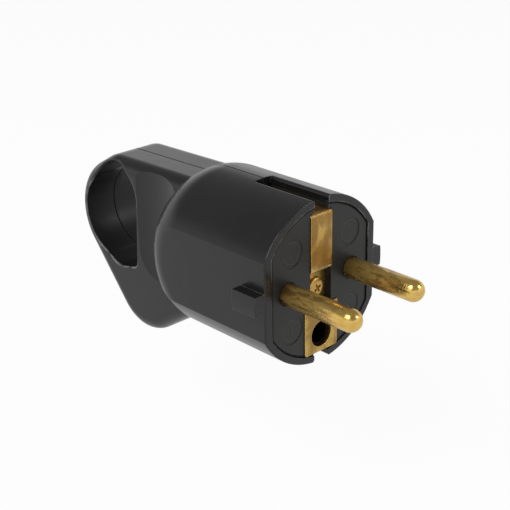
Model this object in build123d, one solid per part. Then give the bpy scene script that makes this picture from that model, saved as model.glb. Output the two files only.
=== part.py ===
"""Two-pole earthed plug with a finger ring on its back.

Millimetres. +X is to the right when the pin face is looked at, the pins point
along -Y, and +Z is up, away from the earth socket. The origin is the centre of
the pin face, between the two line pins, in the plane of the shell's front rim.
"""
import os
from math import cos, radians, sin

from build123d import *

# Line pins
PIN_D = 4.8
PIN_FREE_LENGTH = 19.0
PIN_PITCH = 19.0
PIN_ROOT_D = 5.6
PIN_NECK_D = 4.0
PIN_HOLE_D = 5.1
PIN_HOLE_DEPTH = 0.8

# Earth socket
SOCKET_DROP = 12.2
SOCKET_BORE_D = 4.9
SOCKET_LENGTH = 13.5
SOCKET_WALL = 0.5
SOCKET_FLANGE_D = 7.6
SOCKET_FLANGE = 0.6
SOCKET_SLIT = 0.7
SOCKET_SLIT_LENGTH = 8.0

# Outside of the barrel
BODY_R = 18.6
FLAT_X = 16.4
BODY_LENGTH = 40.3
SHOULDER_R = 12.0
FLAT_END_R = 8.0
FLAT_END_HALF = 10.5
FLAT_END_SWEEP = 55.0
RIB_LENGTH = 6.8
RIB_START = 0.2
RIB_HALF = 2.2
RIB_ROUND = 0.9
RIB_PROUD = 0.4
RIM_ROUND = 0.3
SEAM_HALF = 0.08
SEAM_DEPTH = 0.15

# Outside of the neck, ring and tail, with circles of the side view as y, z and radius
HANDLE_HALF = 8.5
HANDLE_ROUND = 3.2
ROOT_Y = 33.0
ROOT_TOP = 16.2
ROOT_BOTTOM = -16.6
CROWN = (59.3, 8.7, 7.0)
RING = (60.3, 0.3, 13.8)
TAIL = (50.9, -15.4, 10.9)
SCOOP_Y = 43.8
SCOOP_R = 27.0
SCOOP_DEPTH = 0.9
SCOOP_FOOT = -4.5

# Finger hole, with circles of the side view
HOLE = (
    (54.05, -8.8, 1.85),
    (58.6, -5.8, 5.8),
    (61.6, 0.3, 9.85),
    (58.9, 6.65, 7.75),
)
HOLE_RIM = 0.4

# Walls and clearances
WALL = 2.4
RIM_WALL = 1.6
FLAT_RIM_WALL = 2.0
HANDLE_WALL = 2.3
FIT = 0.12
SEAT = 0.05
CUT_PAST = 5.0

# Cable way, which runs down and back behind the terminals
CABLE_BORE_D = 8.6
CABLE_SLOPE = 45.0
CABLE_OFFSET = 24.4
CABLE_START = 26.0
GLAND_LENGTH = 9.0

# Pin carrier
CARRIER_FRONT = 0.25
CARRIER_FLOOR = 11.0
CARRIER_REAR = 17.0
FLANGE_START = 12.0
FLANGE_LENGTH = 1.8
FLANGE_PROUD = 0.7
SKIRT_WALL = 1.5
MARK_R = 3.2
MARK_DEPTH = 0.12
MARK_X = 8.6
MARK_Z = 8.6

# Slots for the socket's earth clips
SLOT_WIDTH = 4.2
SLOT_LENGTH = 17.0
SLOT_ROUND = 0.7

# Earth strip
STRIP = 0.8
STRIP_BEND = 0.4
STRIP_TOP_Z = 15.4
STRIP_BOTTOM_Z = -16.3
STRIP_WIDTH = 6.2
STRIP_FOOT_WIDTH = 9.8
STRIP_TONGUE_WIDTH = 4.0
STRIP_TONGUE_LENGTH = 15.5
STRIP_STEP = 2.0
STRIP_STEP_TOP = 1.9
STRIP_STEP_BOTTOM = -5.6
STRIP_CORNER = 0.7
STRIP_HOLE_D = 6.0

# Terminals
HEAD_SIDE = 6.0
HEAD_LENGTH = 10.5
HEAD_ROUND = 0.6
WIRE_HOLE_D = 3.2
WIRE_HOLE_DEPTH = 7.0
TERMINAL_SCREW_FROM_REAR = 4.0
TERMINAL_SCREW_LIFT = 1.0
RETAINER = 1.6
RETAINER_GAP = 0.6
WIRE_WAY_D = 4.0
THRUST_RIB = (3.0, 6.0)
THRUST_RIB_DEPTH = 3.5

# Screws, as thread diameter, head diameter, head height and length under the head
FACE_SCREW = (3.0, 4.6, 0.9, 12.0)
FACE_SCREW_Z = -2.0
TERMINAL_SCREW = (3.0, 4.6, 1.6, 3.6)
SHELL_SCREW = (2.5, 4.6, 1.5, 10.0)
CLAMP_SCREW = (2.5, 3.8, 1.2, 7.0)
THREAD_GAP = 0.05
SHANK_GAP = 0.15
DRIVE_WIDTH = 0.7
DRIVE_DEPTH = 0.6

# What joins the two shell halves, with places of the side view as y and z
SHELL_SCREWS = {"upper": (45.0, 6.6), "lower": (43.4, -19.3)}
BOSS_R = 3.5
HEAD_FLOOR_X = 5.6
NUT_ACROSS = 5.0
NUT_HEIGHT = 2.0
NUT_DEPTH = 0.4
TIP_GAP = 0.4
NUT_TURN = 15.0
PEG_R = 1.0
PEG_LENGTH = 2.0
PEG_GAP = 0.1
PEG_BOSS_R = 2.0
PEG_BOSS_REACH = 9.0
BODY_PEG_Y = 26.0
BODY_PEG_Z = 15.0
RING_PEGS = ((51.2, 13.1), (65.5, -11.5))

# Cord clamp
CLAMP_AT = 35.0
CLAMP_REACH = 6.2
CLAMP_POST_R = 2.1
CLAMP_POST_TOP = 1.5
CLAMP_WIDTH = 4.4
CLAMP_THICK = 1.6
CLAMP_TEETH = 3
CLAMP_TOOTH = 0.5
CLAMP_TOOTH_HALF = 3.2


def along_x(outline, start, end):
    """Extrude an outline drawn in Y and Z from x=start to x=end."""
    return extrude(Plane.YZ.offset(start) * outline, end - start)


def along_y(outline, start, end):
    """Extrude an outline drawn in X and Z from y=start to y=end."""
    face = Plane((0, end, 0), x_dir=(1, 0, 0), z_dir=(0, -1, 0))
    return extrude(face * outline, end - start)


def along_z(outline, start, end):
    """Extrude an outline drawn in X and Y from z=start to z=end."""
    return extrude(Plane.XY.offset(start) * outline, end - start)


def block(x0, x1, y0, y1, z0, z1):
    """Box between two corners."""
    return Pos((x0 + x1) / 2, (y0 + y1) / 2, (z0 + z1) / 2) * Box(x1 - x0, y1 - y0, z1 - z0)


def rod(start, direction, radius, length):
    """Cylinder from a point along a direction."""
    return extrude(Plane(start, z_dir=direction) * Circle(radius), length)


def tangent(first, second):
    """Line that touches two circles on the right of the way from first to second."""
    (ay, az, a_radius), (by, bz, b_radius) = first, second
    gap = Vector(by - ay, bz - az)
    lean = (a_radius - b_radius) / gap.length
    ahead = gap.normalized()
    normal = ahead * lean + Vector(ahead.Y, -ahead.X) * max(1 - lean ** 2, 0) ** 0.5
    return Vector(ay, az) + normal * a_radius, Vector(by, bz) + normal * b_radius, normal


def hull_of(circles):
    """Outline pulled tight round circles, given anticlockwise as y, z and radius."""
    lines = [tangent(*pair) for pair in zip(circles, circles[1:] + circles[:1])]
    edges = []
    for (y, z, radius), before, after in zip(circles, lines[-1:] + lines[:-1], lines):
        if radius > 0:
            middle = Vector(y, z) + (before[2] + after[2]).normalized() * radius
            edges.append(ThreePointArc(before[1], middle, after[0]))
        edges.append(Line(after[0], after[1]))
    return make_face(edges)


def side_of(shape, sign):
    """Half of a shape on one side of the seam plane X=0."""
    reach = BODY_R + CUT_PAST
    tall = 2 * RING[0]
    low, high = sorted((0, sign * reach))
    return shape & block(low, high, -tall, tall, -tall, tall)


# Outer form

def barrel(inset=0.0):
    """Round barrel with a rounded shoulder and a flat on each side."""
    radius = BODY_R - inset
    length = BODY_LENGTH - inset
    section = Pos(radius / 2, length / 2) * Rectangle(radius, length)
    corner = section.vertices().sort_by(Axis.Y)[-2:].sort_by(Axis.X)[-1]
    form = revolve(fillet(corner, SHOULDER_R - inset), Axis.Y)
    for sign in (-1, 1):
        form -= flat_cutter(sign, inset)
    return form


def rounded_barrel():
    """Barrel with its front rim rounded a little."""
    form = barrel()
    rim = [edge for edge in form.edges() if abs(edge.center().Y) < 0.01]
    return fillet(rim, RIM_ROUND)


def flat_cutter(sign, inset=0.0):
    """What lies outside one flat, whose rear end rolls over in an arc."""
    flat = FLAT_X - inset
    roll = FLAT_END_R - inset
    outside = BODY_R + CUT_PAST
    centre_y = BODY_LENGTH - FLAT_END_R - FLAT_END_HALF
    arc_y = centre_y + FLAT_END_HALF
    sweep = radians(FLAT_END_SWEEP)
    arc = CenterArc((flat - roll, arc_y), roll, 0, FLAT_END_SWEEP)
    tail = arc @ 1 + Vector(-sin(sweep), cos(sweep)) * BODY_R
    profile = make_face([
        Line((flat, centre_y), (flat, arc_y)),
        arc,
        Polyline(arc @ 1, tail, (outside, tail.Y), (outside, centre_y), (flat, centre_y)),
    ])
    spin = Axis((0, centre_y, 0), (1, 0, 0))
    rear = revolve(profile.rotate(spin, -90), spin, 180)
    front = block(flat, outside, -CUT_PAST, centre_y, -BODY_R, BODY_R)
    cutter = rear + front
    return cutter if sign > 0 else mirror(cutter, Plane.YZ)


def handle_outline(inset=0.0):
    """Side view of the neck, the ring and the tail."""
    root = [(ROOT_Y, ROOT_TOP - inset, 0.0), (ROOT_Y, ROOT_BOTTOM + inset, 0.0)]
    return hull_of(root + [(y, z, radius - inset) for y, z, radius in (TAIL, RING, CROWN)])


def handle(inset=0.0):
    """Neck, ring and tail as one rounded slab, before the finger hole."""
    half = HANDLE_HALF - inset
    slab = along_x(handle_outline(inset), -half, half)
    rims = [edge for edge in slab.edges()
            if abs(abs(edge.center().X) - half) < 0.01 and edge.center().Y > ROOT_Y + 1]
    return fillet(rims, HANDLE_ROUND - inset)


def neck_scoop(sign):
    """Shallow hollow in the flank of the neck, with a round foot above the tail."""
    x = sign * (HANDLE_HALF + SCOOP_R - SCOOP_DEPTH)
    shaft = Pos(x, SCOOP_Y) * Circle(SCOOP_R)
    foot = Pos(x, SCOOP_Y, SCOOP_FOOT) * Sphere(SCOOP_R)
    return along_z(shaft, SCOOP_FOOT, BODY_R + CUT_PAST) + foot


def finger_hole(grow=0.0):
    """Finger hole through the whole width, or what lies within a wall round it."""
    outline = hull_of([(y, z, radius + grow) for y, z, radius in HOLE])
    return along_x(outline, -BODY_R, BODY_R)


def finger_ring():
    """Neck, ring and tail with the finger hole, its softened rims and the scoops."""
    form = handle() - finger_hole()
    form = fillet([edge for edge in form.edges() if hole_rim_edge(edge)], HOLE_RIM)
    for sign in (-1, 1):
        form -= neck_scoop(sign)
    return form


def hole_rim_edge(edge):
    """True for the edges where the finger hole meets the outside."""
    y, z = edge.center().Y, edge.center().Z
    inside = any((y - cy) ** 2 + (z - cz) ** 2 < (r + HOLE_RIM) ** 2 for cy, cz, r in HOLE)
    return inside and abs(edge.center().X) > HANDLE_HALF / 2 and edge.bounding_box().size.X < 3


def guide_rib(sign):
    """Guide rib on one flat, in line with the pins."""
    end = RIB_START + RIB_LENGTH
    rib = block(FLAT_X - WALL / 2, BODY_R + CUT_PAST, RIB_START, end, -RIB_HALF, RIB_HALF)
    rib &= along_y(Circle(BODY_R + RIB_PROUD), RIB_START, end)
    corner = rib.edges().filter_by(Axis.Z).sort_by(Axis.Y)[:2].sort_by(Axis.X)[-1]
    rib = fillet(corner, RIB_ROUND)
    return rib if sign > 0 else mirror(rib, Plane.YZ)


def outer_form():
    """Whole outside of the shell as one solid."""
    form = rounded_barrel() + finger_ring()
    for sign in (-1, 1):
        form += guide_rib(sign)
    return form - seam_groove() - slot_mouths()


def seam_groove():
    """Fine groove along the outside of the seam."""
    reach = 2 * RING[0]
    core = barrel(SEAM_DEPTH) + (handle(SEAM_DEPTH) - finger_hole(SEAM_DEPTH))
    return block(-SEAM_HALF, SEAM_HALF, 0, reach, -reach, reach) - core


def slot_mouths():
    """What is cut away where the outer corners of the two slots are rounded."""
    x = SLOT_WIDTH / 2 + SLOT_ROUND
    z = (BODY_R ** 2 - x ** 2) ** 0.5 - SLOT_ROUND
    mouth = Pos(0, z + SLOT_ROUND) * Rectangle(2 * x, 2 * SLOT_ROUND)
    for side in (-x, x):
        mouth -= Pos(side, z) * Circle(SLOT_ROUND)
    upper = along_y(mouth, -CUT_PAST, SLOT_LENGTH)
    return upper + mirror(upper, Plane.XY)


def carrier_outline(gap=0.0):
    """Outline of the pocket in the rim, in X and Z, or of what fits it with a gap."""
    radius = BODY_R - RIM_WALL - gap
    return Circle(radius) & Rectangle(2 * (FLAT_X - FLAT_RIM_WALL - gap), 2 * radius)


def cable_point(along, across=0.0):
    """Point of the cable way in the seam plane, across being towards the ring."""
    slope = radians(CABLE_SLOPE)
    side = CABLE_OFFSET + across
    return Vector(0, along * cos(slope) + side * sin(slope), side * cos(slope) - along * sin(slope))


def cable_direction():
    """Way that the cable leaves the tail."""
    slope = radians(CABLE_SLOPE)
    return Vector(0, cos(slope), -sin(slope))


def cable_exit():
    """Distance along the cable way at which it reaches the outside."""
    slope = radians(CABLE_SLOPE)
    return max(y * cos(slope) - z * sin(slope) + radius for y, z, radius in (RING, TAIL))


def cable_bore():
    """Round way for the cable, from the chamber out through the tail."""
    length = cable_exit() + CABLE_BORE_D - CABLE_START
    return rod(cable_point(CABLE_START), cable_direction(), CABLE_BORE_D / 2, length)


def slot_blocks(inner_top, inner_bottom, length):
    """Two slots through the front rim on the seam plane, for the socket's earth clips."""
    half = SLOT_WIDTH / 2
    reach = BODY_R + CUT_PAST
    return (block(-half, half, -CUT_PAST, length, inner_top, reach)
            + block(-half, half, -CUT_PAST, length, -reach, inner_bottom))


def neck_pocket():
    """Hollow of the neck and the tail, in front of the finger hole and of the gland."""
    reach = 2 * BODY_R
    pocket = handle(HANDLE_WALL) - finger_hole(HANDLE_WALL)
    ahead = min(y - radius for y, _, radius in HOLE) - HANDLE_WALL
    gland = Plane(cable_point(cable_exit() - GLAND_LENGTH), z_dir=-cable_direction())
    before_gland = extrude(gland * Rectangle(reach * 2, reach * 2), reach)
    front = block(-reach, reach, 0, ahead, -reach, reach)
    under_hole = min(z - radius for _, z, radius in HOLE) - HANDLE_WALL
    lower = block(-reach, reach, 0, reach * 2, -reach, under_hole)
    return pocket & before_gland & (front + lower)


def shell_hollow():
    """Everything that is hollow inside the closed shell."""
    rear = CARRIER_REAR + FIT
    pocket = along_y(carrier_outline(), -CUT_PAST, rear)
    flange_end = FLANGE_START + FLANGE_LENGTH
    groove = along_y(carrier_outline(-FLANGE_PROUD - FIT), FLANGE_START - FIT, flange_end + FIT)
    chamber = barrel(WALL) & block(-BODY_R, BODY_R, rear - FIT, BODY_LENGTH, -BODY_R, BODY_R)
    inner = BODY_R - RIM_WALL - FLANGE_PROUD
    slots = slot_blocks(inner, -inner, SLOT_LENGTH)
    return pocket + groove + chamber + slots + neck_pocket() + cable_bore()


def peg_places():
    """Places of the locating pegs, as y and z of the side view."""
    return [(BODY_PEG_Y, BODY_PEG_Z), (BODY_PEG_Y, -BODY_PEG_Z), *RING_PEGS]


def clamp_places():
    """Centres of the two cord clamp screws, upper first, as y and z."""
    points = [cable_point(CLAMP_AT, across) for across in (CLAMP_REACH, -CLAMP_REACH)]
    return [(point.Y, point.Z) for point in points]


def thrust_ribs(sign):
    """Ribs inside one flat that hold the retainer against the terminals."""
    start = retainer_front() + RETAINER + SEAT
    outer = FLAT_X - WALL / 2
    ribs = Part()
    for low, high in (THRUST_RIB, (-THRUST_RIB[1], -THRUST_RIB[0])):
        rib = block(FLAT_X - WALL - THRUST_RIB_DEPTH, outer, start, start + RETAINER, low, high)
        ribs += rib if sign > 0 else mirror(rib, Plane.YZ)
    return ribs


def shell_blank(sign, outside, hollow):
    """One half of the shell with its bosses, before the holes in them."""
    reach = sign * PEG_BOSS_REACH
    wall = outside - hollow
    for place in SHELL_SCREWS.values():
        wall += along_x(Pos(*place) * Circle(BOSS_R), *sorted((0, reach))) & outside
    for place in peg_places()[:2]:
        wall += along_x(Pos(*place) * Circle(PEG_BOSS_R), *sorted((0, reach))) & outside
    wall += thrust_ribs(sign)
    return side_of(wall - cable_bore(), sign)


def shell_left(outside, hollow):
    """Left half, with the nut pockets, the pegs and the cord clamp's posts."""
    half = shell_blank(-1, outside, hollow)
    thread = SHELL_SCREW[0] / 2 + SHANK_GAP
    for place in SHELL_SCREWS.values():
        nut = Pos(*place) * Rot(0, 0, NUT_TURN) * hexagon(NUT_ACROSS + 2 * SEAT)
        half -= along_x(nut, -NUT_HEIGHT - NUT_DEPTH, 0)
        half -= along_x(Pos(*place) * Circle(thread), HEAD_FLOOR_X - SHELL_SCREW[3] - TIP_GAP, 0)
    for place in peg_places():
        half += along_x(Pos(*place) * Circle(PEG_R), -PEG_LENGTH, PEG_LENGTH)
    pilot = CLAMP_SCREW[0] / 2 + THREAD_GAP
    bottom = CLAMP_POST_TOP + CLAMP_THICK - CLAMP_SCREW[3] - TIP_GAP
    for place in clamp_places():
        post = along_x(Pos(*place) * Circle(CLAMP_POST_R), -PEG_BOSS_REACH, CLAMP_POST_TOP) & outside
        half += post
        half -= along_x(Pos(*place) * Circle(pilot), bottom, CLAMP_POST_TOP)
    return half


def shell_right(outside, hollow):
    """Right half, with the holes for the shell screws and for the pegs."""
    half = shell_blank(1, outside, hollow)
    shank, head = [size / 2 + SHANK_GAP for size in SHELL_SCREW[:2]]
    for place in SHELL_SCREWS.values():
        half -= along_x(Pos(*place) * Circle(shank), 0, HEAD_FLOOR_X)
        half -= along_x(Pos(*place) * Circle(head), HEAD_FLOOR_X, 2 * HANDLE_HALF)
    for place in peg_places():
        half -= along_x(Pos(*place) * Circle(PEG_R + PEG_GAP), 0, PEG_LENGTH + PEG_GAP)
    return half


# Front insert and what it carries

def strip_plates(grow=0.0):
    """The strip's wide front parts: upper plate, its bend, middle bridge and foot."""
    half = STRIP_WIDTH / 2 + grow
    foot = STRIP_FOOT_WIDTH / 2 + grow
    back = STRIP + grow
    step_back = STRIP_STEP + STRIP + grow
    bend_z = STRIP_TOP_Z - STRIP - STRIP_BEND
    upper = block(-half, half, 0, back, STRIP_STEP_TOP, bend_z)
    bend = block(-half, half, 0, back + STRIP_BEND, bend_z - grow, STRIP_TOP_Z + grow)
    above, below = STRIP_STEP_TOP + STRIP + grow, STRIP_STEP_BOTTOM - STRIP - grow
    middle = block(-half, half, 0, step_back, below, above)
    lower = block(-foot, foot, 0, back, STRIP_BOTTOM_Z - grow, STRIP_STEP_BOTTOM)
    return upper, bend, middle, lower


def pin_carrier():
    """Front insert: face, skirt, retaining flange, and the seats of what it carries."""
    solid = along_y(carrier_outline(FIT), CARRIER_FRONT, CARRIER_REAR)
    solid += along_y(carrier_outline(-FLANGE_PROUD), FLANGE_START, FLANGE_START + FLANGE_LENGTH)
    solid -= along_y(carrier_outline(FIT + SKIRT_WALL), CARRIER_FLOOR, CARRIER_REAR)
    for plate in strip_plates(SEAT):
        solid -= plate
    relief = offset(strip_section(), SEAT)
    solid -= along_x(relief, -STRIP_TONGUE_WIDTH / 2 - SEAT, STRIP_TONGUE_WIDTH / 2 + SEAT)
    legs = block(-STRIP_WIDTH, STRIP_WIDTH, 0, CARRIER_FLOOR, -SOCKET_DROP, SOCKET_DROP)
    solid -= along_x(relief, -STRIP_WIDTH / 2 - SEAT, STRIP_WIDTH / 2 + SEAT) & legs
    solid -= slot_blocks(STRIP_TOP_Z - STRIP - SEAT, STRIP_BOTTOM_Z + STRIP + SEAT, CARRIER_REAR)
    head = HEAD_SIDE / 2 + SHANK_GAP
    ledge = CARRIER_FRONT + PIN_HOLE_DEPTH
    for x in (-PIN_PITCH / 2, PIN_PITCH / 2):
        solid -= block(x - head, x + head, CARRIER_FLOOR, CARRIER_REAR, -head, head)
        solid -= along_y(Pos(x, 0) * Circle(PIN_ROOT_D / 2 + SEAT), ledge, CARRIER_FLOOR)
        solid -= along_y(Pos(x, 0) * Circle(PIN_HOLE_D / 2), 0, ledge)
    socket = Pos(0, -SOCKET_DROP)
    sleeve = Circle(SOCKET_BORE_D / 2 + SOCKET_WALL + SEAT)
    solid -= along_y(socket * sleeve, 0, CARRIER_REAR)
    flange = Circle(SOCKET_FLANGE_D / 2 + SEAT)
    solid -= along_y(socket * flange, 0, STRIP + SOCKET_FLANGE + 2 * SEAT)
    shank = Circle(FACE_SCREW[0] / 2 + SHANK_GAP)
    solid -= along_y(Pos(0, FACE_SCREW_Z) * shank, 0, CARRIER_FLOOR)
    for x in (-MARK_X, MARK_X):
        for z in (-MARK_Z, MARK_Z):
            solid -= along_y(Pos(x, z) * Circle(MARK_R), 0, CARRIER_FRONT + MARK_DEPTH)
    return solid


def folded_section(front, thickness, bend):
    """Section of a folded sheet with square folds, from the line of its front face."""
    steps = [(b - a).normalized() for a, b in zip(front, front[1:])]
    normals = [Vector(-step.Y, step.X) for step in steps]
    shifts = [normals[0]] + [a + b for a, b in zip(normals, normals[1:])] + [normals[-1]]
    back = [point + shift * thickness for point, shift in zip(front, shifts)]
    section = make_face(Polyline(*front, *reversed(back), close=True))
    for i in range(1, len(front) - 1):
        left_turn = steps[i - 1].cross(steps[i]).Z > 0
        outer, inner = (front[i], back[i]) if left_turn else (back[i], front[i])
        for point, radius in ((outer, bend + thickness), (inner, bend)):
            corner = section.vertices().sort_by_distance(point)[0]
            section = fillet(corner, radius)
    return section


def strip_section():
    """Side view of the folded earth strip: tongue, plate, step, foot and tongue."""
    line = [Vector(*point) for point in (
        (STRIP_TONGUE_LENGTH, STRIP_TOP_Z), (0, STRIP_TOP_Z), (0, STRIP_STEP_TOP),
        (STRIP_STEP, STRIP_STEP_TOP), (STRIP_STEP, STRIP_STEP_BOTTOM), (0, STRIP_STEP_BOTTOM),
        (0, STRIP_BOTTOM_Z), (STRIP_TONGUE_LENGTH, STRIP_BOTTOM_Z))]
    return folded_section(line, STRIP, STRIP_BEND)


def earth_strip():
    """One folded strip that carries both side contacts and the socket's hole."""
    section = strip_section()
    upper, bend, middle, lower = strip_plates()
    strip = along_x(section, -STRIP_TONGUE_WIDTH / 2, STRIP_TONGUE_WIDTH / 2)
    strip += along_x(section, -STRIP_WIDTH / 2, STRIP_WIDTH / 2) & (upper + bend + middle)
    foot_edges = lower.edges().filter_by(Axis.Y).sort_by(Axis.Z)[:2]
    strip += fillet(foot_edges, STRIP_CORNER)
    strip -= along_y(Pos(0, -SOCKET_DROP) * Circle(STRIP_HOLE_D / 2), -CUT_PAST, STRIP + SEAT)
    shank = Circle(FACE_SCREW[0] / 2 + SHANK_GAP)
    strip -= along_y(Pos(0, FACE_SCREW_Z) * shank, 0, STRIP_STEP + 2 * STRIP)
    return strip


def terminal_body(x, z):
    """Square terminal with a wire hole from the rear and a screw hole from the top."""
    start = CARRIER_FLOOR + SEAT
    end = start + HEAD_LENGTH
    body = along_y(Pos(x, z) * Rectangle(HEAD_SIDE, HEAD_SIDE), start, end)
    body = fillet(body.edges().filter_by(Axis.Y), HEAD_ROUND)
    body -= along_y(Pos(x, z) * Circle(WIRE_HOLE_D / 2), end - WIRE_HOLE_DEPTH, end)
    thread = Circle(TERMINAL_SCREW[0] / 2 + THREAD_GAP)
    body -= along_z(Pos(x, end - TERMINAL_SCREW_FROM_REAR) * thread, z, z + HEAD_SIDE)
    return body


def line_pin(x):
    """Turned pin with a round nose, a thin neck, a thicker root and its square terminal."""
    shoulder = CARRIER_FRONT + PIN_HOLE_DEPTH + SEAT
    nose = PIN_D / 2
    shank = along_y(Pos(x, 0) * Circle(nose), nose - PIN_FREE_LENGTH, 0)
    tip = Pos(x, nose - PIN_FREE_LENGTH, 0) * Sphere(nose)
    neck = along_y(Pos(x, 0) * Circle(PIN_NECK_D / 2), 0, shoulder)
    root = along_y(Pos(x, 0) * Circle(PIN_ROOT_D / 2), shoulder, CARRIER_FLOOR + SEAT)
    return shank + tip + neck + root + terminal_body(x, 0)


def earth_socket_sleeve():
    """Slit sleeve for a socket's earth pin, with a flange behind the strip."""
    centre = Pos(0, -SOCKET_DROP)
    bore = SOCKET_BORE_D / 2
    end = STRIP + SOCKET_LENGTH
    outer = bore + SOCKET_WALL
    start = STRIP + SEAT
    below = Pos(0, -SOCKET_FLANGE_D - outer) * Rectangle(2 * SOCKET_FLANGE_D, 2 * SOCKET_FLANGE_D)
    flange = Circle(SOCKET_FLANGE_D / 2) - below
    sleeve = along_y(centre * Circle(outer), start, end)
    sleeve += along_y(centre * flange, start, start + SOCKET_FLANGE)
    sleeve -= along_y(centre * Circle(bore), start, end)
    half = SOCKET_SLIT / 2
    reach = outer + SOCKET_WALL
    low, high = -SOCKET_DROP - reach, -SOCKET_DROP + reach
    return sleeve - block(-half, half, end - SOCKET_SLIT_LENGTH, end, low, high)


def earth_terminal():
    """Block behind the insert that the face screw pulls against it."""
    body = terminal_body(0, FACE_SCREW_Z)
    thread = Circle(FACE_SCREW[0] / 2 + THREAD_GAP)
    end = CARRIER_FLOOR + SEAT + HEAD_LENGTH - WIRE_HOLE_DEPTH
    return body - along_y(Pos(0, FACE_SCREW_Z) * thread, CARRIER_FLOOR, end)


def retainer_front():
    """Place of the retainer's front face, against the rear of the terminals."""
    return CARRIER_FLOOR + 2 * SEAT + HEAD_LENGTH


def pin_retainer():
    """Plate behind the terminals that takes the thrust of plugging in."""
    outline = Circle(BODY_R - WALL - RETAINER_GAP)
    outline &= Rectangle(2 * (FLAT_X - WALL - RETAINER_GAP), 2 * BODY_R)
    for x, z in ((-PIN_PITCH / 2, 0), (PIN_PITCH / 2, 0), (0, FACE_SCREW_Z)):
        outline -= Pos(x, z) * Circle(WIRE_WAY_D / 2)
    return along_y(outline, retainer_front(), retainer_front() + RETAINER)


# Fasteners

def hexagon(across):
    """Hexagon of a given size across its flats."""
    return RegularPolygon(across / 2, 6, major_radius=False)


def screw(size, cross=False):
    """Screw with its head on top of the plane Z=0, and a slot or a cross in the head."""
    thread, head, height, length = size
    body = along_z(Circle(thread / 2), -length, 0) + along_z(Circle(head / 2), 0, height)
    rim = body.edges().sort_by(Axis.Z)[-1]
    body = fillet(rim, height / 3)
    reach = head / 3 if cross else head
    for turn in (0, 90) if cross else (0,):
        drive = Rot(0, 0, turn) * Rectangle(2 * reach, DRIVE_WIDTH)
        body -= along_z(drive, height - DRIVE_DEPTH, height)
    return body


def facing(point, direction, across=(0, 0, 1)):
    """Place whose local +Z is a direction of the part."""
    return Plane(point, x_dir=across, z_dir=direction).location


def terminal_screw(x, z):
    """Screw of one terminal, standing a little out of it."""
    y = CARRIER_FLOOR + SEAT + HEAD_LENGTH - TERMINAL_SCREW_FROM_REAR
    return Pos(x, y, z + HEAD_SIDE / 2 + TERMINAL_SCREW_LIFT) * screw(TERMINAL_SCREW)


def face_screw():
    """Cross-headed screw between the pins."""
    return facing((0, STRIP_STEP - SEAT, FACE_SCREW_Z), (0, -1, 0)) * screw(FACE_SCREW, cross=True)


def shell_screw(place):
    """Screw that pulls the right half onto the left one."""
    return facing((HEAD_FLOOR_X + SEAT, *place), (1, 0, 0)) * screw(SHELL_SCREW, cross=True)


def shell_nut(place):
    """Nut held in the left half's boss."""
    outline = Rot(0, 0, NUT_TURN) * hexagon(NUT_ACROSS)
    outline -= Circle(SHELL_SCREW[0] / 2 + THREAD_GAP)
    return along_x(Pos(*place) * outline, -NUT_HEIGHT - NUT_DEPTH, -NUT_DEPTH)


def clamp_frame():
    """Plane on top of the clamp posts, its local X across the cable."""
    across = cable_point(0, 1) - cable_point(0, 0)
    centre = cable_point(CLAMP_AT) + Vector(CLAMP_POST_TOP + SEAT, 0, 0)
    return Plane(centre, x_dir=across, z_dir=(1, 0, 0))


def cord_clamp_bridge():
    """Bar across the cable, with teeth below it."""
    outline = SlotCenterToCenter(2 * CLAMP_REACH, CLAMP_WIDTH)
    for x in (-CLAMP_REACH, CLAMP_REACH):
        outline -= Pos(x, 0) * Circle(CLAMP_SCREW[0] / 2 + SHANK_GAP)
    bar = extrude(outline, CLAMP_THICK)
    pitch = CLAMP_WIDTH / CLAMP_TEETH
    for i in range(CLAMP_TEETH):
        y = (i - (CLAMP_TEETH - 1) / 2) * pitch
        bar += Pos(0, y, -CLAMP_TOOTH / 2) * Box(2 * CLAMP_TOOTH_HALF, pitch / 2, CLAMP_TOOTH)
    return clamp_frame().location * bar


def cord_clamp_screw(place):
    """Screw through one end of the bridge into its post."""
    seat = CLAMP_POST_TOP + CLAMP_THICK + 2 * SEAT
    return facing((seat, *place), (1, 0, 0)) * screw(CLAMP_SCREW)


def all_parts():
    """Every piece of the plug by name."""
    outside = outer_form()
    hollow = shell_hollow()
    pitch = PIN_PITCH / 2
    parts = {
        "shell_left": shell_left(outside, hollow),
        "shell_right": shell_right(outside, hollow),
        "pin_carrier": pin_carrier(),
        "earth_strip": earth_strip(),
        "earth_socket_sleeve": earth_socket_sleeve(),
        "earth_terminal": earth_terminal(),
        "earth_terminal_screw": terminal_screw(0, FACE_SCREW_Z),
        "pin_retainer": pin_retainer(),
        "face_screw": face_screw(),
        "cord_clamp_bridge": cord_clamp_bridge(),
    }
    for side, x in (("left", -pitch), ("right", pitch)):
        parts[f"line_pin_{side}"] = line_pin(x)
        parts[f"terminal_screw_{side}"] = terminal_screw(x, 0)
    for name, place in SHELL_SCREWS.items():
        parts[f"shell_screw_{name}"] = shell_screw(place)
        parts[f"shell_nut_{name}"] = shell_nut(place)
    for name, place in zip(("upper", "lower"), clamp_places()):
        parts[f"cord_clamp_screw_{name}"] = cord_clamp_screw(place)
    return parts


if __name__ == "__main__":
    os.makedirs("parts", exist_ok=True)
    for node, shape in all_parts().items():
        export_step(shape, f"parts/{node}.step")
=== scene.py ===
"""Looks of an earthed plug with a finger ring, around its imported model."""
from math import pi, radians, tau

import bmesh
import bpy
from mathutils import Matrix, Vector


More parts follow.
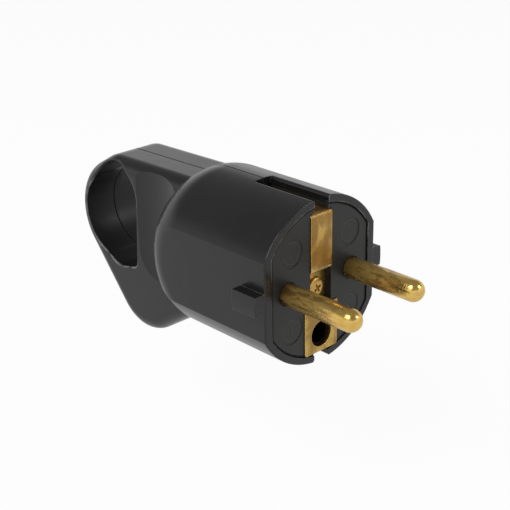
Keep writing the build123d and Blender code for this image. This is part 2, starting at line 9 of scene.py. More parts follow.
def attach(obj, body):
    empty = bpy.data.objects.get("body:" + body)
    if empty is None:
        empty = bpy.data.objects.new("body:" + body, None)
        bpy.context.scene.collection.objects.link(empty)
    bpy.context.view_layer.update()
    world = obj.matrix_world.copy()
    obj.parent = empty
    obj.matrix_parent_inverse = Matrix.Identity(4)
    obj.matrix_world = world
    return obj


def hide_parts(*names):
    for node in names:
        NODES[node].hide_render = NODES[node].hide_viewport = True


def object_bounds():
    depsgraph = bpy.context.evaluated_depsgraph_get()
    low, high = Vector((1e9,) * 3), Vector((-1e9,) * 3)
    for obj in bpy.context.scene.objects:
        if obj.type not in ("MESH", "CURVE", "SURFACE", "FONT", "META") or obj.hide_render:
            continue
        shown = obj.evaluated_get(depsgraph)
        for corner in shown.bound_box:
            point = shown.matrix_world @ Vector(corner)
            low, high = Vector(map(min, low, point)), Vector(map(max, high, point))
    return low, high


bl_info = {
    "name": "Earthed Plug",
    "version": (1, 0, 0),
    "blender": (4, 5, 0),
    "location": "View3D > Sidebar > Plug",
    "description": "Finishes, screws and studio of an earthed plug with a finger ring",
    "category": "Object",
}

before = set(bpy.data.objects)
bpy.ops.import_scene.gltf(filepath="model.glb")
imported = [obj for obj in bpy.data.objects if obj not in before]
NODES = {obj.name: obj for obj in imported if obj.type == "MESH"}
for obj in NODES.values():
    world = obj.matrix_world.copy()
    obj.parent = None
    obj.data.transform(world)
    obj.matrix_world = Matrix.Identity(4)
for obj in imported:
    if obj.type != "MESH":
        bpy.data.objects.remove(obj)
CAD_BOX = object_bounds()
MM = 0.001

# Camera
CAMERA_PLACE = (-0.152359, -0.142416, 0.095036)
CAMERA_RIGHT = (0.723929, -0.689626, -0.018525)
CAMERA_UP = (0.283327, 0.272721, 0.919429)
CAMERA_BACK = (-0.62901, -0.67085, 0.39282)

# Places and sizes for the finishes, in millimetres
MARK_PLACE = 8.6
MARK_RING = 2.35
INSERT_R = 16.9
INSERT_FLAT = 14.3
HANDLE_SIDE = 8.5

# Circles that the finger hole wraps, as Y, Z and radius in millimetres
FINGER_HOLE = ((54.05, -8.8, 1.85), (58.6, -5.8, 5.8), (61.6, 0.3, 9.85), (58.9, 6.65, 7.75))

# Tones over the base colours, and the floor's
DARK_JOINT = (0.001, 0.001, 0.001)
SHELL_DUST = (0.09, 0.085, 0.08)
INSERT_DUST = (0.10, 0.09, 0.08)
GREY_RIM = (0.025, 0.024, 0.023)
RUBBED_EDGE = (0.10, 0.10, 0.097)
# Lighter edge tone: rim wear with a painted highlight
RIM_WEAR_AND_HIGHLIGHT = (0.34, 0.34, 0.33)
# Lighter lip tone: rubbing with a painted highlight
LIP_RUB_AND_HIGHLIGHT = (0.26, 0.26, 0.25)
POLISHED_INSERT = (0.030, 0.030, 0.028)
PALE_MARK = (0.040, 0.040, 0.038)
COPPER_BLOOM = (0.33, 0.135, 0.045)
ZINC_BLOOM = (0.42, 0.40, 0.34)
FLOOR_TONE = (0.88, 0.88, 0.88)

# How far a pin's neck reaches into the face, and its share of the shank's radius
NECK_REACH = 1.2 * MM
NECK_SHARE = 0.985

# Screw details
HEAD_CHAMFER = 0.14 * MM
THREAD_LEAD = 0.3 * MM
SLOT_TURN = 0.5
CROSS_TAPER = 0.55
TURN_STEPS = 24

# Lamps, as place and size, and the floor's half width, in metres
KEY_LAMP = ((-0.455, 0.045, 0.53), 0.36)
FILL_LAMP = ((0.32, -0.48, 0.39), 0.20)
FLOOR_SIZE = 6.0

# Height of a look up, as its sine, at which the white walls start to dim and have dimmed
WALLS_WHITE_TO = 0.27
WALLS_DIM_FROM = 0.50

# Screws by node, with the number of slots in the head
SCREWS = {
    "face_screw": 2,
    "shell_screw_upper": 2,
    "shell_screw_lower": 2,
    "cord_clamp_screw_upper": 1,
    "cord_clamp_screw_lower": 1,
    "terminal_screw_left": 1,
    "terminal_screw_right": 1,
    "earth_terminal_screw": 1,
}


class PlugFinish(bpy.types.PropertyGroup):
    """Colours and wear of the plug."""

    shell_colour: bpy.props.FloatVectorProperty(
        name="Shell", description="Colour of the two moulded halves", subtype="COLOR",
        default=(0.0075, 0.0070, 0.0072), min=0, max=1)
    insert_colour: bpy.props.FloatVectorProperty(
        name="Insert", description="Colour of the front insert", subtype="COLOR",
        default=(0.010, 0.010, 0.0095), min=0, max=1)
    pin_colour: bpy.props.FloatVectorProperty(
        name="Pins", description="Colour of the turned brass", subtype="COLOR",
        default=(0.76, 0.54, 0.17), min=0, max=1)
    strip_colour: bpy.props.FloatVectorProperty(
        name="Earth strip", description="Colour of the rolled brass", subtype="COLOR",
        default=(0.58, 0.40, 0.125), min=0, max=1)
    tarnish_colour: bpy.props.FloatVectorProperty(
        name="Tarnish", description="Colour of dulled brass", subtype="COLOR",
        default=(0.30, 0.175, 0.050), min=0, max=1)
    steel_colour: bpy.props.FloatVectorProperty(
        name="Steel", description="Colour of the plated screws", subtype="COLOR",
        default=(0.56, 0.56, 0.57), min=0, max=1)
    board_colour: bpy.props.FloatVectorProperty(
        name="Inner board", description="Colour of the cord clamp", subtype="COLOR",
        default=(0.20, 0.19, 0.18), min=0, max=1)
    tarnish: bpy.props.FloatProperty(
        name="Tarnish amount", description="Share of the brass that has dulled", subtype="FACTOR",
        default=0.5, min=0, max=1)
    scratches: bpy.props.FloatProperty(
        name="Scratches", description="Depth of the fine scratches", subtype="FACTOR",
        default=0.5, min=0, max=1)


class PlugScrews(bpy.types.PropertyGroup):
    """Sizes that all the screws share."""

    pitch: bpy.props.FloatProperty(
        name="Pitch", description="Rise of one turn of the thread", unit="LENGTH",
        default=0.5 * MM, min=0.2 * MM, max=1.5 * MM)
    thread_depth: bpy.props.FloatProperty(
        name="Thread depth", description="From crest to root", unit="LENGTH",
        default=0.28 * MM, min=0.05 * MM, max=0.6 * MM)
    drive_width: bpy.props.FloatProperty(
        name="Drive width", description="Width of the slots in the heads", unit="LENGTH",
        default=0.75 * MM, min=0.2 * MM, max=1.5 * MM)
    drive_depth: bpy.props.FloatProperty(
        name="Drive depth", description="Depth of the slots in the heads", unit="LENGTH",
        default=0.6 * MM, min=0.2 * MM, max=1.5 * MM)


class PlugStudio(bpy.types.PropertyGroup):
    """Floor, lamps and lens."""

    lens: bpy.props.FloatProperty(
        name="Lens", description="Focal length on a 36 mm sensor, in millimetres",
        default=77.647, min=20, max=300)
    floor_drop: bpy.props.FloatProperty(
        name="Floor drop", description="How far the floor lies under the plug", unit="LENGTH",
        default=0.026, min=0, max=0.2)
    floor_white: bpy.props.FloatProperty(
        name="Floor white", description="Share of the floor's look that no shadow darkens",
        subtype="FACTOR", default=0.93, min=0, max=1)
    mirrored_white: bpy.props.FloatProperty(
        name="Mirrored white", description="The same share where the floor is seen in a gloss",
        subtype="FACTOR", default=0.40, min=0, max=1)
    key: bpy.props.FloatProperty(
        name="Key", description="Power of the lamp on the left", unit="POWER",
        default=2.5, min=0, max=50)
    fill: bpy.props.FloatProperty(
        name="Fill", description="Power of the lamp on the right", unit="POWER",
        default=1.0, min=0, max=50)
    ceiling: bpy.props.FloatProperty(
        name="Ceiling", description="Strength of the light from above the white walls",
        default=0.34, min=0, max=5)


# Shader maths

def arithmetic(operation, swapped=False):
    """Operator of Number that adds a Math node."""
    def method(self, other):
        pair = (other, self) if swapped else (self, other)
        return self.nodes.maths(operation, *pair)
    return method


class Number:
    """A number that varies over a surface, usable in Python expressions."""

    def __init__(self, nodes, socket):
        self.nodes = nodes
        self.socket = socket

    __add__ = __radd__ = arithmetic("ADD")
    __mul__ = __rmul__ = arithmetic("MULTIPLY")
    __sub__ = arithmetic("SUBTRACT")
    __rsub__ = arithmetic("SUBTRACT", swapped=True)
    __pow__ = arithmetic("POWER")

    def __abs__(self):
        return self.nodes.maths("ABSOLUTE", self)


class Nodes:
    """A node tree and the few ways in which nodes are added to it."""

    def __init__(self, owner):
        owner.use_nodes = True
        self.tree = owner.node_tree
        self.tree.nodes.clear()

    def node(self, kind, settings=None, inputs=None):
        """A node with its settings, then the values or links of its sockets."""
        made = self.tree.nodes.new(kind)
        for name, value in (settings or {}).items():
            setattr(made, name, value)
        for key, value in (inputs or {}).items():
            self.feed(made.inputs[key], value)
        return made

    def feed(self, socket, value):
        """Links a socket, or sets its value."""
        if isinstance(value, Number):
            value = value.socket
        if isinstance(value, bpy.types.NodeSocket):
            self.tree.links.new(value, socket)
        elif socket.type == "RGBA":
            socket.default_value = (*value, 1.0)[:4]
        else:
            socket.default_value = value

    def maths(self, operation, *values):
        """A Math node on numbers."""
        made = self.node("ShaderNodeMath", {"operation": operation}, dict(enumerate(values)))
        return Number(self, made.outputs[0])

    def smooth(self, value, low, high):
        """0 before low and 1 past high, with a soft step between. Low may be the larger."""
        made = self.node("ShaderNodeMapRange", {"interpolation_type": "SMOOTHSTEP"}, {
            "Value": value, "From Min": low, "From Max": high, "To Min": 0.0, "To Max": 1.0})
        return Number(self, made.outputs[0])

    def parts(self, vector):
        """The three numbers of a vector."""
        outputs = self.node("ShaderNodeSeparateXYZ", inputs={"Vector": vector}).outputs
        return [Number(self, socket) for socket in outputs]

    def seen(self, direct, mirrored):
        """A share where the camera looks, another in reflections, and 0 for other light."""
        rays = self.node("ShaderNodeLightPath").outputs
        names = ("Is Camera Ray", "Is Glossy Ray", "Is Transmission Ray")
        camera, glossy, through = [Number(self, rays[name]) for name in names]
        return self.maths("MINIMUM", camera * direct + (glossy + through) * mirrored, 1.0)


class Finish(Nodes):
    """One procedural material, with lengths in millimetres."""

    def __init__(self, name):
        self.material = bpy.data.materials.new(name)
        super().__init__(self.material)
        self.shader = self.node("ShaderNodeBsdfPrincipled")
        self.output = self.node("ShaderNodeOutputMaterial",
                                inputs={"Surface": self.shader.outputs[0]})
        place = self.node("ShaderNodeTexCoord").outputs["Object"]
        self.place = self.node("ShaderNodeVectorMath", {"operation": "SCALE"},
                               {"Vector": place, "Scale": 1 / MM}).outputs[0]
        self.x, self.y, self.z = self.parts(self.place)

    def rounded(self, radius):
        """Normal that makes every sharp edge look rounded."""
        made = self.node("ShaderNodeBevel", {"samples": 6}, {"Radius": radius * MM})
        return made.outputs[0]

    def worn_edges(self, radius):
        """1 along sharp edges and 0 on open surfaces."""
        plain = self.node("ShaderNodeNewGeometry").outputs["Normal"]
        turned = self.node("ShaderNodeVectorMath", {"operation": "DOT_PRODUCT"},
                           {0: self.rounded(radius), 1: plain})
        return self.smooth(Number(self, turned.outputs["Value"]), 0.985, 0.90)

    def stretched(self, x, y, z):
        """Place on the piece, drawn out along each axis by a factor."""
        return self.node("ShaderNodeVectorMath", {"operation": "MULTIPLY"},
                         {0: self.place, 1: (1 / x, 1 / y, 1 / z)}).outputs[0]

    def noise(self, size, detail=2.0, rough=0.5, place=None, warp=0.0):
        """Cloudy noise with features of a size."""
        made = self.node("ShaderNodeTexNoise", None, {
            "Vector": place or self.place, "Scale": 1 / size, "Detail": detail,
            "Roughness": rough, "Distortion": warp})
        return Number(self, made.outputs[0])

    def specks(self, size, share):
        """Small separate spots: 1 in a spot and 0 between."""
        made = self.node("ShaderNodeTexVoronoi", {"feature": "F1"},
                         {"Vector": self.place, "Scale": 1 / size})
        return self.smooth(Number(self, made.outputs["Distance"]), share, share * 0.5)

    def colours(self, first, second, amount):
        """Colour between two by an amount."""
        settings = {"data_type": "RGBA", "clamp_factor": True}
        made = self.node("ShaderNodeMix", settings, {0: amount, 6: first, 7: second})
        return made.outputs[2]

    def bump(self, height, depth, below=None):
        """Relief of a depth, on top of another relief."""
        inputs = {"Height": height, "Distance": depth * MM, "Strength": 1.0}
        if below:
            inputs["Normal"] = below
        return self.node("ShaderNodeBump", None, inputs).outputs[0]

    def surface(self, **values):
        """Sets the shader's sockets by name, with _ for a space."""
        for name, value in values.items():
            self.feed(self.shader.inputs[name.replace("_", " ")], value)
        return self.material


def shade(colour, factor):
    """A colour made darker or lighter by a factor."""
    return tuple(part * factor for part in colour)


def warmed(colour):
    """A redder tone of the same brass."""
    return tuple(part * factor for part, factor in zip(colour, (0.92, 0.80, 0.60)))


def brightened(colour, factor):
    """A colour made lighter by a factor, at most to white."""
    return tuple(min(1, part) for part in shade(colour, factor))


def dress(material, *names):
    """Gives CAD nodes a material."""
    for name in names:
        mesh = NODES[name].data
        mesh.materials.clear()
        mesh.materials.append(material)


# Finishes

def finger_hole(f):
    """1 within a little more than the circles that the finger hole wraps, and 0 outside them."""
    inside = 0
    for y, z, reach in FINGER_HOLE:
        away = ((f.y - y) * (f.y - y) + (f.z - z) * (f.z - z)) ** 0.5
        inside = f.maths("MAXIMUM", inside, f.smooth(away, reach + 0.5, reach + 0.2))
    return inside


def shell_finish(look):
    """Black moulded plastic with a dark parting line and rubbed edges, a painted highlight over the
    wear on the upper front rim and the finger hole's lip, and painted shade inside the finger hole.
    """
    f = Finish("moulded_black_shell")
    base = tuple(look.shell_colour)
    cloud = f.noise(14, 3, 0.55)
    grain = f.noise(0.35, 2, 0.5)
    swell = f.noise(5.5, 2, 0.4)
    rub = f.smooth(f.noise(2.6, 5, 0.7, f.stretched(1, 3.5, 1)), 0.56, 0.78)
    dust = f.specks(1.1, 0.10) * f.smooth(f.noise(5, 2), 0.50, 0.64)
    rim = f.smooth(f.y, 0.9, 0.1) * f.smooth(f.noise(1.5, 4, 0.6), 0.42, 0.68)
    seam = f.smooth(abs(f.x), 0.22, 0.10)
    worn = f.smooth(f.noise(2.2, 4, 0.6), 0.36, 0.60)
    edge = f.worn_edges(0.25) * worn
    # Upper front rim edges, lightened for wear and as a painted highlight along the top of the rim
    upper_rim_wear_and_highlight = edge * f.smooth(f.y, 1.2, 0.4) * f.smooth(f.z, 1, 9)
    hole = finger_hole(f)
    # Lip of the finger hole, lightened for rubbing and as a painted highlight
    lip_rub_and_highlight = hole * f.smooth(abs(f.x), HANDLE_SIDE - 0.55, HANDLE_SIDE - 0.25) * (worn * 0.6 + 0.4)
    # Painted shade: darker and rougher inside the finger hole
    painted_hole_shade = hole * f.smooth(abs(f.x), HANDLE_SIDE - 0.4, HANDLE_SIDE - 0.9)
    colour = f.colours(base, shade(base, 1.6), cloud)
    colour = f.colours(colour, GREY_RIM, rim * 0.2)
    colour = f.colours(colour, RUBBED_EDGE, edge * 0.5)
    colour = f.colours(colour, RIM_WEAR_AND_HIGHLIGHT, upper_rim_wear_and_highlight)
    colour = f.colours(colour, LIP_RUB_AND_HIGHLIGHT, lip_rub_and_highlight * 0.6)
    colour = f.colours(colour, shade(base, 0.5), painted_hole_shade)
    colour = f.colours(colour, SHELL_DUST, dust * 0.3)
    colour = f.colours(colour, DARK_JOINT, seam * 0.9)
    rough = 0.21 + cloud * 0.08 + rub * 0.06 + rim * 0.08 + edge * 0.1
    rough = rough + dust * 0.2 + seam * 0.5 + painted_hole_shade * 0.22
    relief = f.bump(grain, 0.004, f.rounded(0.22))
    relief = f.bump(swell, 0.03, relief)
    return f.surface(Base_Color=colour, Roughness=rough, Normal=relief, IOR=1.42)


def face_ring(f):
    """Moulded ring marks on the insert's face."""
    across = abs(f.x) - MARK_PLACE
    up = abs(f.z) - MARK_PLACE
    distance = (across * across + up * up) ** 0.5
    ring = f.smooth(abs(distance - MARK_RING), 0.24, 0.10)
    bar = f.smooth(abs(across), 0.22, 0.10) * f.smooth(abs(up), 1.5, 1.3)
    return f.maths("MAXIMUM", ring, bar) * f.smooth(f.y, 0.9, 0.7)


def insert_finish(look):
    """Dark satin thermoset with moulded marks and a dark joint round it."""
    f = Finish("satin_dark_insert")
    base = tuple(look.insert_colour)
    cloud = f.noise(7, 3, 0.55)
    grain = f.noise(0.22, 3, 0.6)
    rub = f.smooth(f.noise(1.8, 5, 0.7, f.stretched(1, 1, 2.5)), 0.55, 0.75)
    dust = f.specks(0.8, 0.12) * f.smooth(f.noise(4, 2), 0.47, 0.62)
    mark = face_ring(f)
    reach = (f.x * f.x + f.z * f.z) ** 0.5
    joint = f.maths("MAXIMUM", f.smooth(reach, INSERT_R - 0.40, INSERT_R - 0.28),
                    f.smooth(abs(f.x), INSERT_FLAT - 0.40, INSERT_FLAT - 0.28))
    colour = f.colours(base, shade(base, 1.5), cloud)
    colour = f.colours(colour, POLISHED_INSERT, rub * 0.35)
    colour = f.colours(colour, PALE_MARK, mark * 0.5)
    colour = f.colours(colour, INSERT_DUST, dust * 0.3)
    colour = f.colours(colour, DARK_JOINT, joint)
    rough = 0.36 + cloud * 0.12 + rub * 0.08 + joint * 0.5
    relief = f.bump(grain, 0.008, f.rounded(0.10))
    relief = f.bump(mark, 0.10, relief)
    relief = f.bump(1 - joint, 0.15, relief)
    return f.surface(Base_Color=colour, Roughness=rough, Normal=relief, IOR=1.40)


def board_finish(look):
    """Grey pressed fibre board."""
    f = Finish("grey_fibre_board")
    base = tuple(look.board_colour)
    fibre = f.noise(0.5, 4, 0.65, f.stretched(1, 1, 4))
    colour = f.colours(base, shade(base, 0.6), fibre)
    relief = f.bump(fibre, 0.04)
    return f.surface(Base_Color=colour, Roughness=0.55 + fibre * 0.25, Normal=relief, IOR=1.5)


def pin_finish(look):
    """Turned brass, bright at the tip and rubbed and dulled toward the root."""
    f = Finish("turned_brass")
    base, dull = tuple(look.pin_colour), tuple(look.tarnish_colour)
    root = f.smooth(f.y, -17.0, -9.0)
    smear = f.noise(1.5, 5, 0.65, f.stretched(1, 3.5, 1), 0.6)
    stain = f.smooth(smear, 0.47, 0.58) * (root * 0.80 + 0.20) * (2 * look.tarnish)
    copper = f.smooth(f.noise(2.2, 3, 0.5, f.stretched(1, 2, 1)), 0.45, 0.60)
    speck = f.smooth(f.noise(0.35, 4, 0.7), 0.54, 0.64) * (root * 0.8 + 0.1)
    plugged = f.smooth(f.noise(0.30, 3, 0.6, f.stretched(1, 16, 1)), 0.55, 0.70)
    turned = f.noise(0.16, 1, 0.5, f.stretched(25, 1, 25))
    tint = f.colours(base, warmed(base), f.noise(2.4, 3))
    tint = f.colours(tint, f.colours(dull, COPPER_BLOOM, copper), stain * 0.85)
    tint = f.colours(tint, shade(dull, 0.35), speck * 0.6)
    gloss = 0.16 + root * 0.05 + stain * 0.08 + speck * 0.15 + plugged * 0.08
    relief = f.bump(plugged, 0.010 * look.scratches, f.rounded(0.12))
    relief = f.bump(turned, 0.075 * look.scratches, relief)
    return f.surface(Base_Color=tint, Metallic=1 - root * 0.35, Roughness=gloss, Normal=relief)


def brass_finish(name, colour, look, dulling, rough):
    """Brass with soft dull clouds, fine upright lines and bright edges."""
    f = Finish(name)
    base, dull = tuple(colour), tuple(look.tarnish_colour)
    stain = f.smooth(f.noise(4.5, 3, 0.5, f.stretched(1, 1, 1.6), 0.4), 0.36, 0.56) * dulling
    fleck = f.smooth(f.noise(0.5, 4, 0.65), 0.60, 0.72)
    lines = f.noise(0.30, 3, 0.6, f.stretched(1, 1, 14))
    edge = f.worn_edges(0.20)
    tint = f.colours(base, warmed(base), f.noise(3.0, 3))
    tint = f.colours(tint, dull, stain)
    tint = f.colours(tint, shade(dull, 0.5), fleck * (dulling * 0.5))
    tint = f.colours(tint, brightened(base, 1.7), edge * 0.6)
    gloss = rough + stain * 0.15 + fleck * 0.06 + lines * 0.06 - edge * 0.08
    relief = f.bump(lines, 0.003 * look.scratches, f.rounded(0.15))
    relief = f.bump(f.noise(3.5, 2, 0.4), 0.10, relief)
    return f.surface(Base_Color=tint, Metallic=0.94, Roughness=gloss, Normal=relief)


def steel_finish(look):
    """Zinc plated steel with a faint warm bloom."""
    f = Finish("zinc_plated_steel")
    base = tuple(look.steel_colour)
    bloom = f.smooth(f.noise(1.4, 4, 0.6), 0.42, 0.66)
    lines = f.noise(0.25, 3, 0.6, f.stretched(1, 1, 6))
    colour = f.colours(base, ZINC_BLOOM, bloom * 0.6)
    rough = 0.28 + bloom * 0.15 + lines * 0.08
    relief = f.bump(lines, 0.006)
    return f.surface(Base_Color=colour, Metallic=1.0, Roughness=rough, Normal=relief)


# New pieces

def piece(name, form, material, node):
    """Object that stands for a CAD node."""
    mesh = bpy.data.meshes.new(name)
    form.to_mesh(mesh)
    form.free()
    mesh.materials.append(material)
    mesh.shade_smooth()
    mesh.set_sharp_from_angle(angle=radians(35))
    made = bpy.data.objects.new(name, mesh)
    bpy.context.scene.collection.objects.link(made)
    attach(made, "root")
    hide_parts(node)
    return made


def points_of(node):
    """Places of a CAD node's vertices."""
    place = NODES[node].matrix_world
    return [place @ vertex.co for vertex in NODES[node].data.vertices]


def pin_copy(node, material):
    """Line pin whose neck fills the hole in the insert's face."""
    form = bmesh.new()
    form.from_mesh(NODES[node].data)
    form.transform(NODES[node].matrix_world)
    bmesh.ops.remove_doubles(form, verts=form.verts, dist=0.001 * MM)
    points = points_of(node)
    centre_x = (min(p.x for p in points) + max(p.x for p in points)) / 2
    shank = max(Vector((p.x - centre_x, p.z)).length for p in points if p.y < -MM)
    for vertex in form.verts:
        away = Vector((vertex.co.x - centre_x, 0, vertex.co.z))
        if 0 <= vertex.co.y < NECK_REACH and 0.5 * shank < away.length < 0.95 * shank:
            vertex.co += away.normalized() * (NECK_SHARE * shank - away.length)
    bmesh.ops.recalc_face_normals(form, faces=form.faces)
    return piece(f"turned_{node}", form, material, node)


class ScrewShape:
    """Axis, ends and radii of a screw, read from its CAD node."""

    def __init__(self, node):
        points = points_of(node)
        low = Vector([min(p[i] for p in points) for i in range(3)])
        high = Vector([max(p[i] for p in points) for i in range(3)])
        size = high - low
        along = max(range(3), key=lambda i: size[i])
        middle = (low + high) / 2
        self.axis = Vector([1.0 if i == along else 0.0 for i in range(3)])
        heights = [((p - middle).dot(self.axis), self.distance(p - middle)) for p in points]
        self.head = max(radius for _, radius in heights)
        at_head = [height for height, radius in heights if radius > 0.9 * self.head]
        if sum(at_head) < 0:
            self.axis = -self.axis
            heights = [(-height, radius) for height, radius in heights]
            at_head = [-height for height in at_head]
        self.top = size[along] / 2
        self.under = min(at_head)
        self.thread = max(radius for height, radius in heights if height < 0.2 * MM - self.top)
        self.middle = middle

    def distance(self, point):
        """Distance of a point from the axis through the middle."""
        return (point - self.axis * point.dot(self.axis)).length

    def turn(self):
        """Matrix that stands a screw drawn along Z in its place."""
        return Matrix.Translation(self.middle) @ self.axis.to_track_quat("Z", "Y").to_matrix().to_4x4()


def lathe(profile, steps=48):
    """Closed solid from a line of radius and height, from the foot up."""
    form = bmesh.new()
    line = [form.verts.new((radius, 0, height)) for radius, height in profile]
    edges = [form.edges.new(pair) for pair in zip(line, line[1:])]
    bmesh.ops.spin(form, geom=line + edges, cent=(0, 0, 0), axis=(0, 0, 1), angle=tau,
                   steps=steps, use_merge=True)
    bmesh.ops.remove_doubles(form, verts=form.verts, dist=0.002 * MM)
    bmesh.ops.recalc_face_normals(form, faces=form.faces)
    return form


def screw_core(shape, root):
    """Shank and domed head of a screw, without its thread."""
    height = shape.top - shape.under
    dome = [(shape.head * share, shape.top - height * 0.45 * share ** 4)
            for share in (0.97, 0.88, 0.72, 0.45)]
    foot = [(0, -shape.top), (root - HEAD_CHAMFER, -shape.top), (root, HEAD_CHAMFER - shape.top)]
    head = [(root, shape.under), (shape.head - HEAD_CHAMFER, shape.under),
            (shape.head, shape.under + HEAD_CHAMFER)]
    return lathe([*foot, *head, *dome, (0, shape.top)])


def cut_drive(core, shape, slots, sizes):
    """Core with one slot or a tapered cross in its head."""
    solid = bpy.data.meshes.new("core")
    core.to_mesh(solid)
    core.free()
    blank = bpy.data.objects.new("core", solid)
    bpy.context.scene.collection.objects.link(blank)
    reach = shape.head * (0.62 if slots == 2 else 1.3)
    cutters = []
    for i in range(slots):
        box = bmesh.new()
        size = (2 * reach, sizes.drive_width, 2 * sizes.drive_depth, 1)
        turn = Matrix.Translation((0, 0, shape.top)) @ Matrix.Rotation(i * pi / 2 + SLOT_TURN, 4, "Z")
        bmesh.ops.create_cube(box, size=1, matrix=turn @ Matrix.Diagonal(size))
        foot = [vertex for vertex in box.verts if vertex.co.z < shape.top]
        if slots == 2:
            bmesh.ops.scale(box, vec=(CROSS_TAPER, CROSS_TAPER, 1), verts=foot)
        mesh = bpy.data.meshes.new("cutter")
        box.to_mesh(mesh)
        box.free()
        cutter = bpy.data.objects.new("cutter", mesh)
        bpy.context.scene.collection.objects.link(cutter)
        cutters.append(cutter)
        cut = blank.modifiers.new("drive", "BOOLEAN")
        cut.operation = "DIFFERENCE"
        cut.object = cutter
    ready = blank.evaluated_get(bpy.context.evaluated_depsgraph_get())
    form = bmesh.new()
    form.from_mesh(bpy.data.meshes.new_from_object(ready))
    for spare in (blank, *cutters):
        bpy.data.objects.remove(spare)
    return form


def add_thread(form, shape, sizes):
    """Winds a ridge round the shank."""
    pitch, root = sizes.pitch, shape.thread - sizes.thread_depth
    start, end = THREAD_LEAD - shape.top, shape.under - pitch
    turns = int((end - start) / pitch)
    section = [(root - 0.05 * MM, 0), (shape.thread, 0.38), (shape.thread, 0.50),
               (root - 0.05 * MM, 0.88)]
    line = [form.verts.new((radius, 0, start + rise * pitch)) for radius, rise in section]
    edges = [form.edges.new(pair) for pair in zip(line, line[1:] + line[:1])]
    made = bmesh.ops.spin(form, geom=line + edges, cent=(0, 0, 0), axis=(0, 0, 1),
                          dvec=(0, 0, pitch / TURN_STEPS), angle=tau * turns,
                          steps=TURN_STEPS * turns)
    last = [item for item in made["geom_last"] if isinstance(item, bmesh.types.BMEdge)]
    bmesh.ops.holes_fill(form, edges=edges + last, sides=4)


def screw(node, slots, sizes, material):
    """Threaded screw in the place of a CAD screw."""
    shape = ScrewShape(node)
    core = screw_core(shape, shape.thread - sizes.thread_depth)
    form = cut_drive(core, shape, slots, sizes)
    add_thread(form, shape, sizes)
    bmesh.ops.recalc_face_normals(form, faces=form.faces)
    form.transform(shape.turn())
    return piece(f"threaded_{node}", form, material, node)


# Operators

class PLUG_OT_shell(bpy.types.Operator):
    """Give the two shell halves their black moulded plastic"""

    bl_idname = "plug.shell"
    bl_label = "Shell"

    def execute(self, context):
        dress(shell_finish(context.scene.plug_finish), "shell_left", "shell_right")
        return {"FINISHED"}


class PLUG_OT_insert(bpy.types.Operator):
    """Give the front insert and the retainer their satin plastic"""

    bl_idname = "plug.insert"
    bl_label = "Front insert"

    def execute(self, context):
        dress(insert_finish(context.scene.plug_finish), "pin_carrier", "pin_retainer")
        return {"FINISHED"}


class PLUG_OT_pins(bpy.types.Operator):
    """Give the line pins their turned and worn brass"""

    bl_idname = "plug.pins"
    bl_label = "Line pins"

    def execute(self, context):
        brass = pin_finish(context.scene.plug_finish)
        for node in ("line_pin_left", "line_pin_right"):
            pin_copy(node, brass)
        return {"FINISHED"}


class PLUG_OT_earth(bpy.types.Operator):
    """Give the earth strip and its terminal their brass, and the sleeve a near-black brass as painted
    shade in the earth hole
    """

    bl_idname = "plug.earth"
    bl_label = "Earth parts"

    def execute(self, context):
        look = context.scene.plug_finish
        dress(brass_finish("rolled_brass", look.strip_colour, look, 0.95, 0.22), "earth_strip")
        # Near-black brass for the sleeve, which is seen only inside the earth hole: painted shade
        dark = brass_finish("shade_dark_brass", shade(look.tarnish_colour, 0.05), look, 0.0, 0.5)
        dress(dark, "earth_socket_sleeve")
        dress(brass_finish("sawn_brass", look.strip_colour, look, 0.6, 0.34), "earth_terminal")
        return {"FINISHED"}


class PLUG_OT_screws(bpy.types.Operator):
    """Give every screw its thread and its slots"""

    bl_idname = "plug.screws"
    bl_label = "Screws"

    def execute(self, context):
        look = context.scene.plug_finish
        sizes = context.scene.plug_screws
        steel = steel_finish(look)
        brass = brass_finish("screw_brass", look.strip_colour, look, 0.2, 0.24)
        for node, slots in SCREWS.items():
            if node == "face_screw":
                screw(node, slots, sizes, brass)
            else:
                screw(node, slots, sizes, steel)
        dress(steel, "shell_nut_upper", "shell_nut_lower")
        return {"FINISHED"}


class PLUG_OT_clamp(bpy.types.Operator):
    """Give the cord clamp its pressed board"""

    bl_idname = "plug.clamp"
    bl_label = "Cord clamp"

    def execute(self, context):
        dress(board_finish(context.scene.plug_finish), "cord_clamp_bridge")
        return {"FINISHED"}


class PLUG_OT_studio(bpy.types.Operator):
    """Set up the floor, the lamps and the camera"""

    bl_idname = "plug.studio"
    bl_label = "Studio"

    def execute(self, context):
        studio = context.scene.plug_studio
        low, high = CAD_BOX
        centre = (low + high) / 2
        context.scene.view_settings.view_transform = "Standard"
        white_floor(low.z - studio.floor_drop, centre, studio)
        white_walls(studio.ceiling)
        lamp("key_lamp", KEY_LAMP, centre, studio.key)
        lamp("fill_lamp", FILL_LAMP, centre, studio.fill)
        context.scene.camera = photo_camera(studio.lens)
        return {"FINISHED"}


# Studio

def lamp(name, stand, aim, power):
    """Square soft lamp that looks at a point, from a place and with a size."""
    place, size = stand
    light = bpy.data.lights.new(name, "AREA")
    light.shape = "SQUARE"
    light.size = size
    light.energy = power
    holder = bpy.data.objects.new(name, light)
    bpy.context.scene.collection.objects.link(holder)
    holder.location = place
    holder.rotation_euler = (Vector(aim) - Vector(place)).to_track_quat("-Z", "Y").to_euler()
    return holder


def photo_camera(lens):
    """Camera at the photograph's place and angle."""
    view = bpy.data.cameras.new("camera")
    view.lens = lens
    view.sensor_width = 36
    view.clip_start = 0.01
    view.clip_end = 20
    camera = bpy.data.objects.new("camera", view)
    bpy.context.scene.collection.objects.link(camera)
    turn = Matrix((CAMERA_RIGHT, CAMERA_UP, CAMERA_BACK)).transposed().to_4x4()
    camera.matrix_world = Matrix.Translation(CAMERA_PLACE) @ turn
    return camera


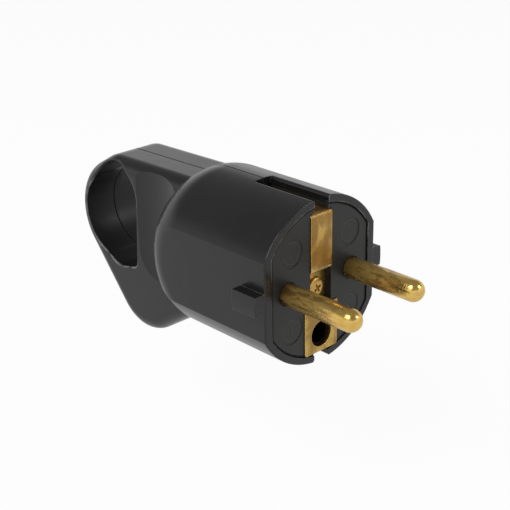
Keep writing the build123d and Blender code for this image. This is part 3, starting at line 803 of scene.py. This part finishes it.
def white_walls(ceiling):
    """White all round at eye level, and dimmer above."""
    world = bpy.data.worlds.new("studio")
    bpy.context.scene.world = world
    n = Nodes(world)
    height = n.parts(n.node("ShaderNodeTexCoord").outputs["Generated"])[2]
    strength = ceiling + (1 - ceiling) * n.smooth(height, WALLS_DIM_FROM, WALLS_WHITE_TO)
    walls = n.node("ShaderNodeBackground", None, {"Color": (1, 1, 1), "Strength": strength})
    n.node("ShaderNodeOutputWorld", None, {"Surface": walls.outputs[0]})


def white_floor(height, centre, studio):
    """Large pale floor that is white where it is seen and keeps the shadow."""
    plane = bmesh.new()
    bmesh.ops.create_grid(plane, x_segments=1, y_segments=1, size=FLOOR_SIZE,
                          matrix=Matrix.Translation((centre.x, centre.y, height)))
    mesh = bpy.data.meshes.new("floor")
    plane.to_mesh(mesh)
    plane.free()
    floor = bpy.data.objects.new("floor", mesh)
    bpy.context.scene.collection.objects.link(floor)
    f = Finish("pale_floor")
    f.surface(Base_Color=FLOOR_TONE, Roughness=0.9, Specular_IOR_Level=0.0)
    white = f.node("ShaderNodeEmission", None, {"Color": (1, 1, 1), "Strength": 1.0})
    mix = f.node("ShaderNodeMixShader", None, {
        0: f.seen(studio.floor_white, studio.mirrored_white),
        1: f.shader.outputs[0], 2: white.outputs[0]})
    f.feed(f.output.inputs["Surface"], mix.outputs[0])
    mesh.materials.append(f.material)
    return floor


class PLUG_PT_panel(bpy.types.Panel):
    """Everything that dresses the plug"""

    bl_label = "Earthed plug"
    bl_idname = "PLUG_PT_panel"
    bl_space_type = "VIEW_3D"
    bl_region_type = "UI"
    bl_category = "Plug"

    def draw(self, context):
        for group_name, group in GROUPS.items():
            for name in group.__annotations__:
                self.layout.prop(getattr(context.scene, group_name), name)
        for operator in OPERATORS:
            self.layout.operator(operator.bl_idname)


GROUPS = {"plug_finish": PlugFinish, "plug_screws": PlugScrews, "plug_studio": PlugStudio}
OPERATORS = (PLUG_OT_shell, PLUG_OT_insert, PLUG_OT_pins, PLUG_OT_earth, PLUG_OT_screws,
             PLUG_OT_clamp, PLUG_OT_studio)


def register():
    """Adds the classes and the groups of properties."""
    for cls in (*GROUPS.values(), *OPERATORS, PLUG_PT_panel):
        bpy.utils.register_class(cls)
    for name, group in GROUPS.items():
        setattr(bpy.types.Scene, name, bpy.props.PointerProperty(type=group))


def unregister():
    """Takes away what register added."""
    for name in GROUPS:
        delattr(bpy.types.Scene, name)
    for cls in reversed((*GROUPS.values(), *OPERATORS, PLUG_PT_panel)):
        bpy.utils.unregister_class(cls)


def main():
    """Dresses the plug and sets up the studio."""
    register()
    bpy.ops.plug.shell()
    bpy.ops.plug.insert()
    bpy.ops.plug.pins()
    bpy.ops.plug.earth()
    bpy.ops.plug.screws()
    bpy.ops.plug.clamp()
    bpy.ops.plug.studio()


if __name__ == "__main__":
    main()
